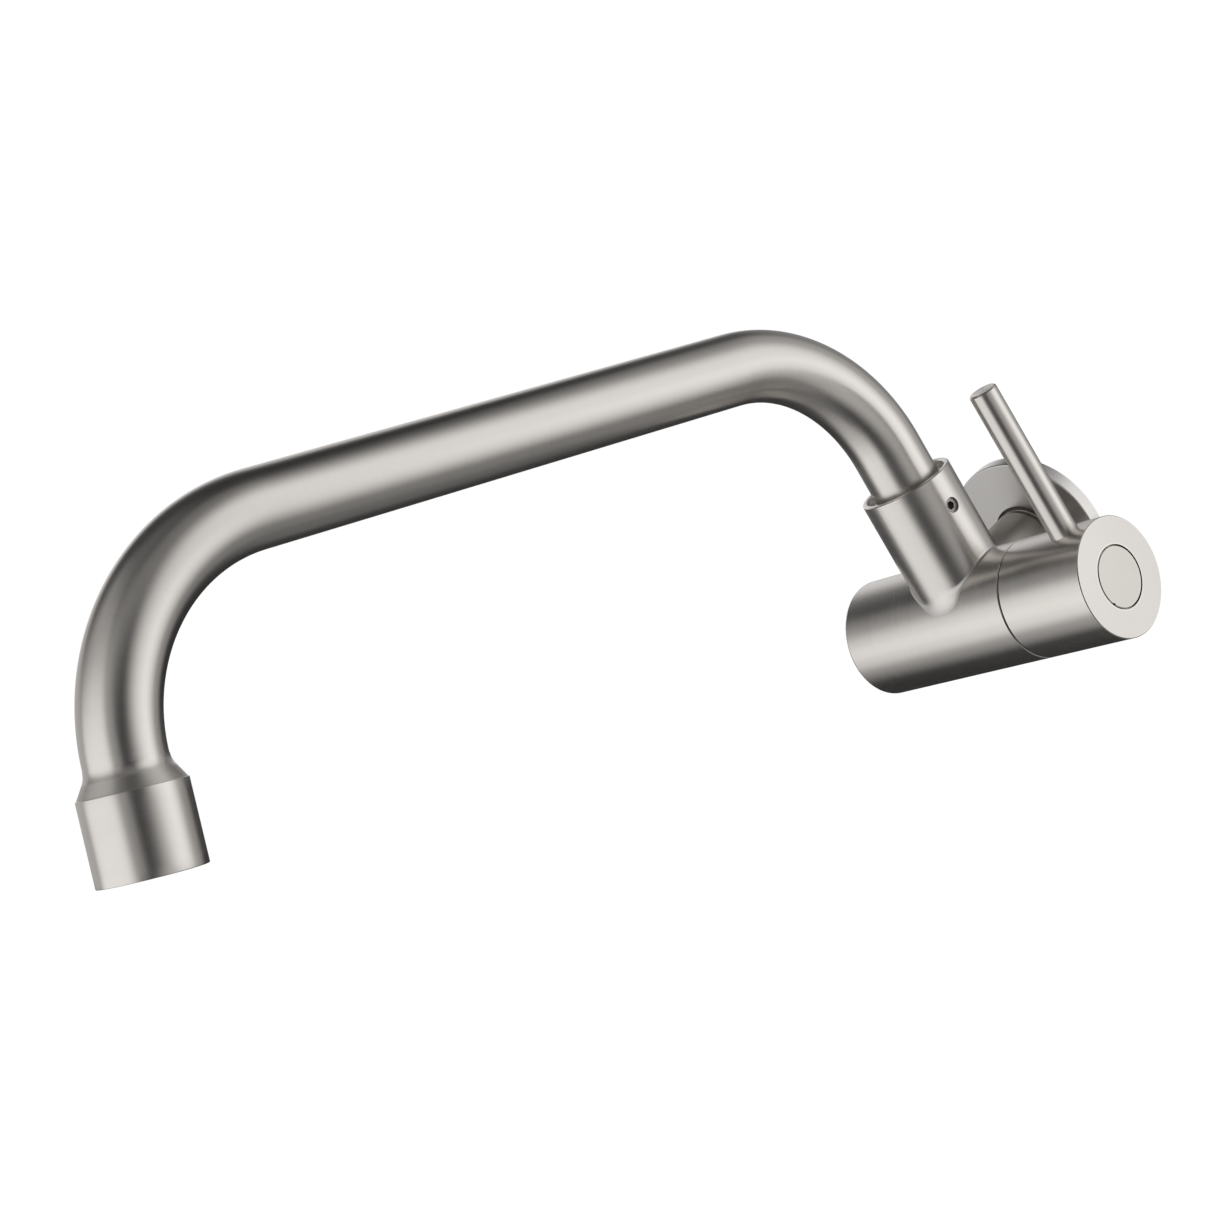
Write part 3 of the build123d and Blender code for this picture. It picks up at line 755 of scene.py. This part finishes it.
def pipe_path():
    """Stations along the pipe's middle line, in the upright plane of the spout, as arrays of
    distance out, height, lean from upright and length so far. A bend's points lie at its radius
    from its centre, and its lean grows evenly."""
    radius_a, angle_a = first_bend
    radius_b, angle_b = second_bend
    riser = np.linspace(riser_foot, riser_top, riser_stations)[:-1]
    lean_a = np.linspace(0, angle_a, first_stations)
    out_a = radius_a * (1 - np.cos(lean_a))
    high_a = riser_top + radius_a * np.sin(lean_a)
    run = np.linspace(0, 1, run_stations)[1:-1] * run_length
    out_run = out_a[-1] + run * math.sin(angle_a)
    high_run = high_a[-1] + run * math.cos(angle_a)
    lean_b = np.linspace(angle_a, angle_a + angle_b, second_stations)
    out_b = out_a[-1] + run_length * math.sin(angle_a) + radius_b * (math.cos(angle_a) - np.cos(lean_b))
    high_b = high_a[-1] + run_length * math.cos(angle_a) + radius_b * (np.sin(lean_b) - math.sin(angle_a))
    leg = np.linspace(0, last_leg - leg_in_collar, leg_stations)[1:]
    out_leg = out_b[-1] + leg * math.sin(lean_b[-1])
    high_leg = high_b[-1] + leg * math.cos(lean_b[-1])
    out = np.concatenate([riser * 0, out_a, out_run, out_b, out_leg])
    high = np.concatenate([riser, high_a, high_run, high_b, high_leg])
    lean = np.concatenate([riser * 0, lean_a, run * 0 + angle_a, lean_b, leg * 0 + lean_b[-1]])
    length = np.concatenate([[0], np.cumsum(np.hypot(np.diff(out), np.diff(high)))])
    return out, high, lean, length


def along_spout(out, high, lean, radius, turn):
    """Points of the spout: the middle line's place, plus radius times a direction that turns
    from the bend's inside to its side."""
    ahead = np.array([math.cos(pipe_swing), math.sin(pipe_swing), 0])
    beside = np.array([-math.sin(pipe_swing), math.cos(pipe_swing), 0])
    up = np.array([0, 0, 1])
    foot = np.array([spout_pivot[0], spout_pivot[1], 0])
    inward = np.cos(lean)[..., None] * ahead - np.sin(lean)[..., None] * up
    arm = np.cos(turn)[..., None] * inward + np.sin(turn)[..., None] * beside
    return foot + out[..., None] * ahead + high[..., None] * up + radius[..., None] * arm


def keep_grain(obj, length, radius, turn):
    """Stores each point's place on the straight blank (length, across, across) as an attribute,
    and a UV map of length and turn, for the grain. Quads from the last column back to the first
    end at a full turn."""
    blank = np.stack([length, radius * np.cos(turn), radius * np.sin(turn)], -1)
    spots = obj.data.attributes.new("blank", "FLOAT_VECTOR", "POINT")
    spots.data.foreach_set("vector", blank.ravel())
    layer = obj.data.uv_layers.new(name="grain")
    corner = np.empty(len(obj.data.loops), int)
    obj.data.loops.foreach_get("vertex_index", corner)
    columns = turn.shape[1]
    share = ((corner % columns) / columns).reshape(-1, 4)
    wraps = (share.max(1) - share.min(1)) > 0.5
    share[wraps] = np.where(share[wraps] == 0, 1.0, share[wraps])
    flat = np.stack([length.ravel()[corner] * grain_scale, share.ravel()], -1)
    layer.data.foreach_set("uv", flat.ravel())


path_out, path_high, path_lean, path_length = pipe_path()
there_and_back = np.concatenate([np.arange(len(path_out)), np.arange(len(path_out))[::-1]])
pipe_wall = np.where(np.arange(len(there_and_back)) < len(path_out), pipe_radius, pipe_bore)
pipe_turn = np.linspace(0, 2 * math.pi, pipe_sides, endpoint=False)
pipe_rows, pipe_columns = np.meshgrid(there_and_back, pipe_turn, indexing="ij")
pipe_sizes = np.repeat(pipe_wall[:, None], pipe_sides, 1)
pipe = grid_mesh("bent_pipe", along_spout(
    path_out[pipe_rows], path_high[pipe_rows], path_lean[pipe_rows], pipe_sizes, pipe_columns),
    closed_rows=True, closed_columns=True)
keep_grain(pipe, path_length[pipe_rows], pipe_sizes, pipe_columns)
pipe.data.materials.append(brushed_steel("pipe_steel", 0, drawn=True))
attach(pipe, "spout")
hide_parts("spout_pipe")
dress(turned_steel, "spout_tail")
dress(rubber, "spout_o_rings", "aerator_washer")

# Outlet collar
# Turned from bar: a straight skirt with a thread inside for the aerator, a narrow ledge, and a
# shoulder that runs down to the pipe, on which it is brazed. The skirt is brushed, and the
# shoulder keeps the rings of the lathe next to the ledge.
collar_radius = 0.0146
collar_length = 0.0225
collar_sides = 144
mouth_edge = 0.00025
ledge_edge = 0.00018
skirt_margin = 0.003
shoulder_foot = 0.0143
shoulder_angle = math.radians(31.0)
shoulder_round = 0.0058
shoulder_lip = 0.0001
aerator_thread = 0.012
aerator_seat = 0.0122
thread_bevel = 0.0004
pipe_stop = 0.0002
lathe_length = 0.0050
edge_stations = 5
skirt_stations = 6
hollow_stations = 9


def collar_profile():
    """The collar's outline as (radius, height above its mouth): up the outside, along the cone
    of the shoulder, round the hollow that meets the pipe, and down the inside."""
    edge_turn = np.linspace(0, math.pi / 2, edge_stations)
    foot_edge = np.stack([
        collar_radius - mouth_edge + mouth_edge * np.sin(edge_turn),
        mouth_edge - mouth_edge * np.cos(edge_turn),
    ], -1)
    skirt_heights = np.linspace(skirt_margin, collar_length - skirt_margin, skirt_stations)
    skirt = [(collar_radius, height) for height in skirt_heights]
    top_edge = np.stack([
        collar_radius - ledge_edge + ledge_edge * np.cos(edge_turn),
        collar_length - ledge_edge + ledge_edge * np.sin(edge_turn),
    ], -1)
    lip = pipe_radius + shoulder_lip
    rise = (shoulder_foot - lip) / math.tan(shoulder_angle)
    top = collar_length + rise + shoulder_round * math.tan(shoulder_angle / 2)
    lean = np.linspace(shoulder_angle, 0, hollow_stations)
    hollow = np.stack([
        lip + shoulder_round * (1 - np.cos(lean)),
        top - shoulder_round * np.sin(lean),
    ], -1)
    inside = [
        (pipe_radius, top),
        (pipe_radius, leg_in_collar),
        (pipe_bore - pipe_stop, leg_in_collar),
        (pipe_bore - pipe_stop, aerator_seat),
        (aerator_thread, aerator_seat),
        (aerator_thread, thread_bevel),
        (aerator_thread + thread_bevel, 0),
    ]
    return np.concatenate([foot_edge, skirt, top_edge, [(shoulder_foot, collar_length)], hollow, inside])


outline = collar_profile()
outline_length = np.concatenate([[0], np.cumsum(np.hypot(*np.diff(outline, axis=0).T))])
collar_turn = np.linspace(0, 2 * math.pi, collar_sides, endpoint=False)
collar_size, collar_columns = np.meshgrid(outline[:, 0], collar_turn, indexing="ij")
collar_height = np.repeat(outline[:, 1:], collar_sides, 1)
mouth_out = path_out[-1] + leg_in_collar * math.sin(path_lean[-1])
mouth_high = path_high[-1] + leg_in_collar * math.cos(path_lean[-1])
collar = grid_mesh("flared_collar", along_spout(
    mouth_out - collar_height * math.sin(path_lean[-1]),
    mouth_high - collar_height * math.cos(path_lean[-1]),
    np.full_like(collar_height, path_lean[-1]), collar_size, collar_columns)[::-1],
    closed_rows=True, closed_columns=True, sharp=28)
keep_grain(
    collar, np.repeat(outline_length[:, None], collar_sides, 1)[::-1], collar_size[::-1],
    collar_columns)
shoulder_start = outline_length[np.argmax(outline[:, 1] >= collar_length)]
collar.data.materials.append(brushed_steel(
    "collar_steel", 0, drawn=True, turned=(shoulder_start, shoulder_start + lathe_length)))
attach(collar, "spout")
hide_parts("outlet_collar")

# Aerator
# A threaded housing that holds a grey honeycomb and a diffuser, which mix air into the water.
grey_plastic = moulded(
    "grey_acetal", (0.34, 0.35, 0.36), roughness=0.40, grain=2600.0, depth=0.00001)
dress(turned_steel, "aerator_housing")
dress(grey_plastic, "aerator_honeycomb", "aerator_diffuser")
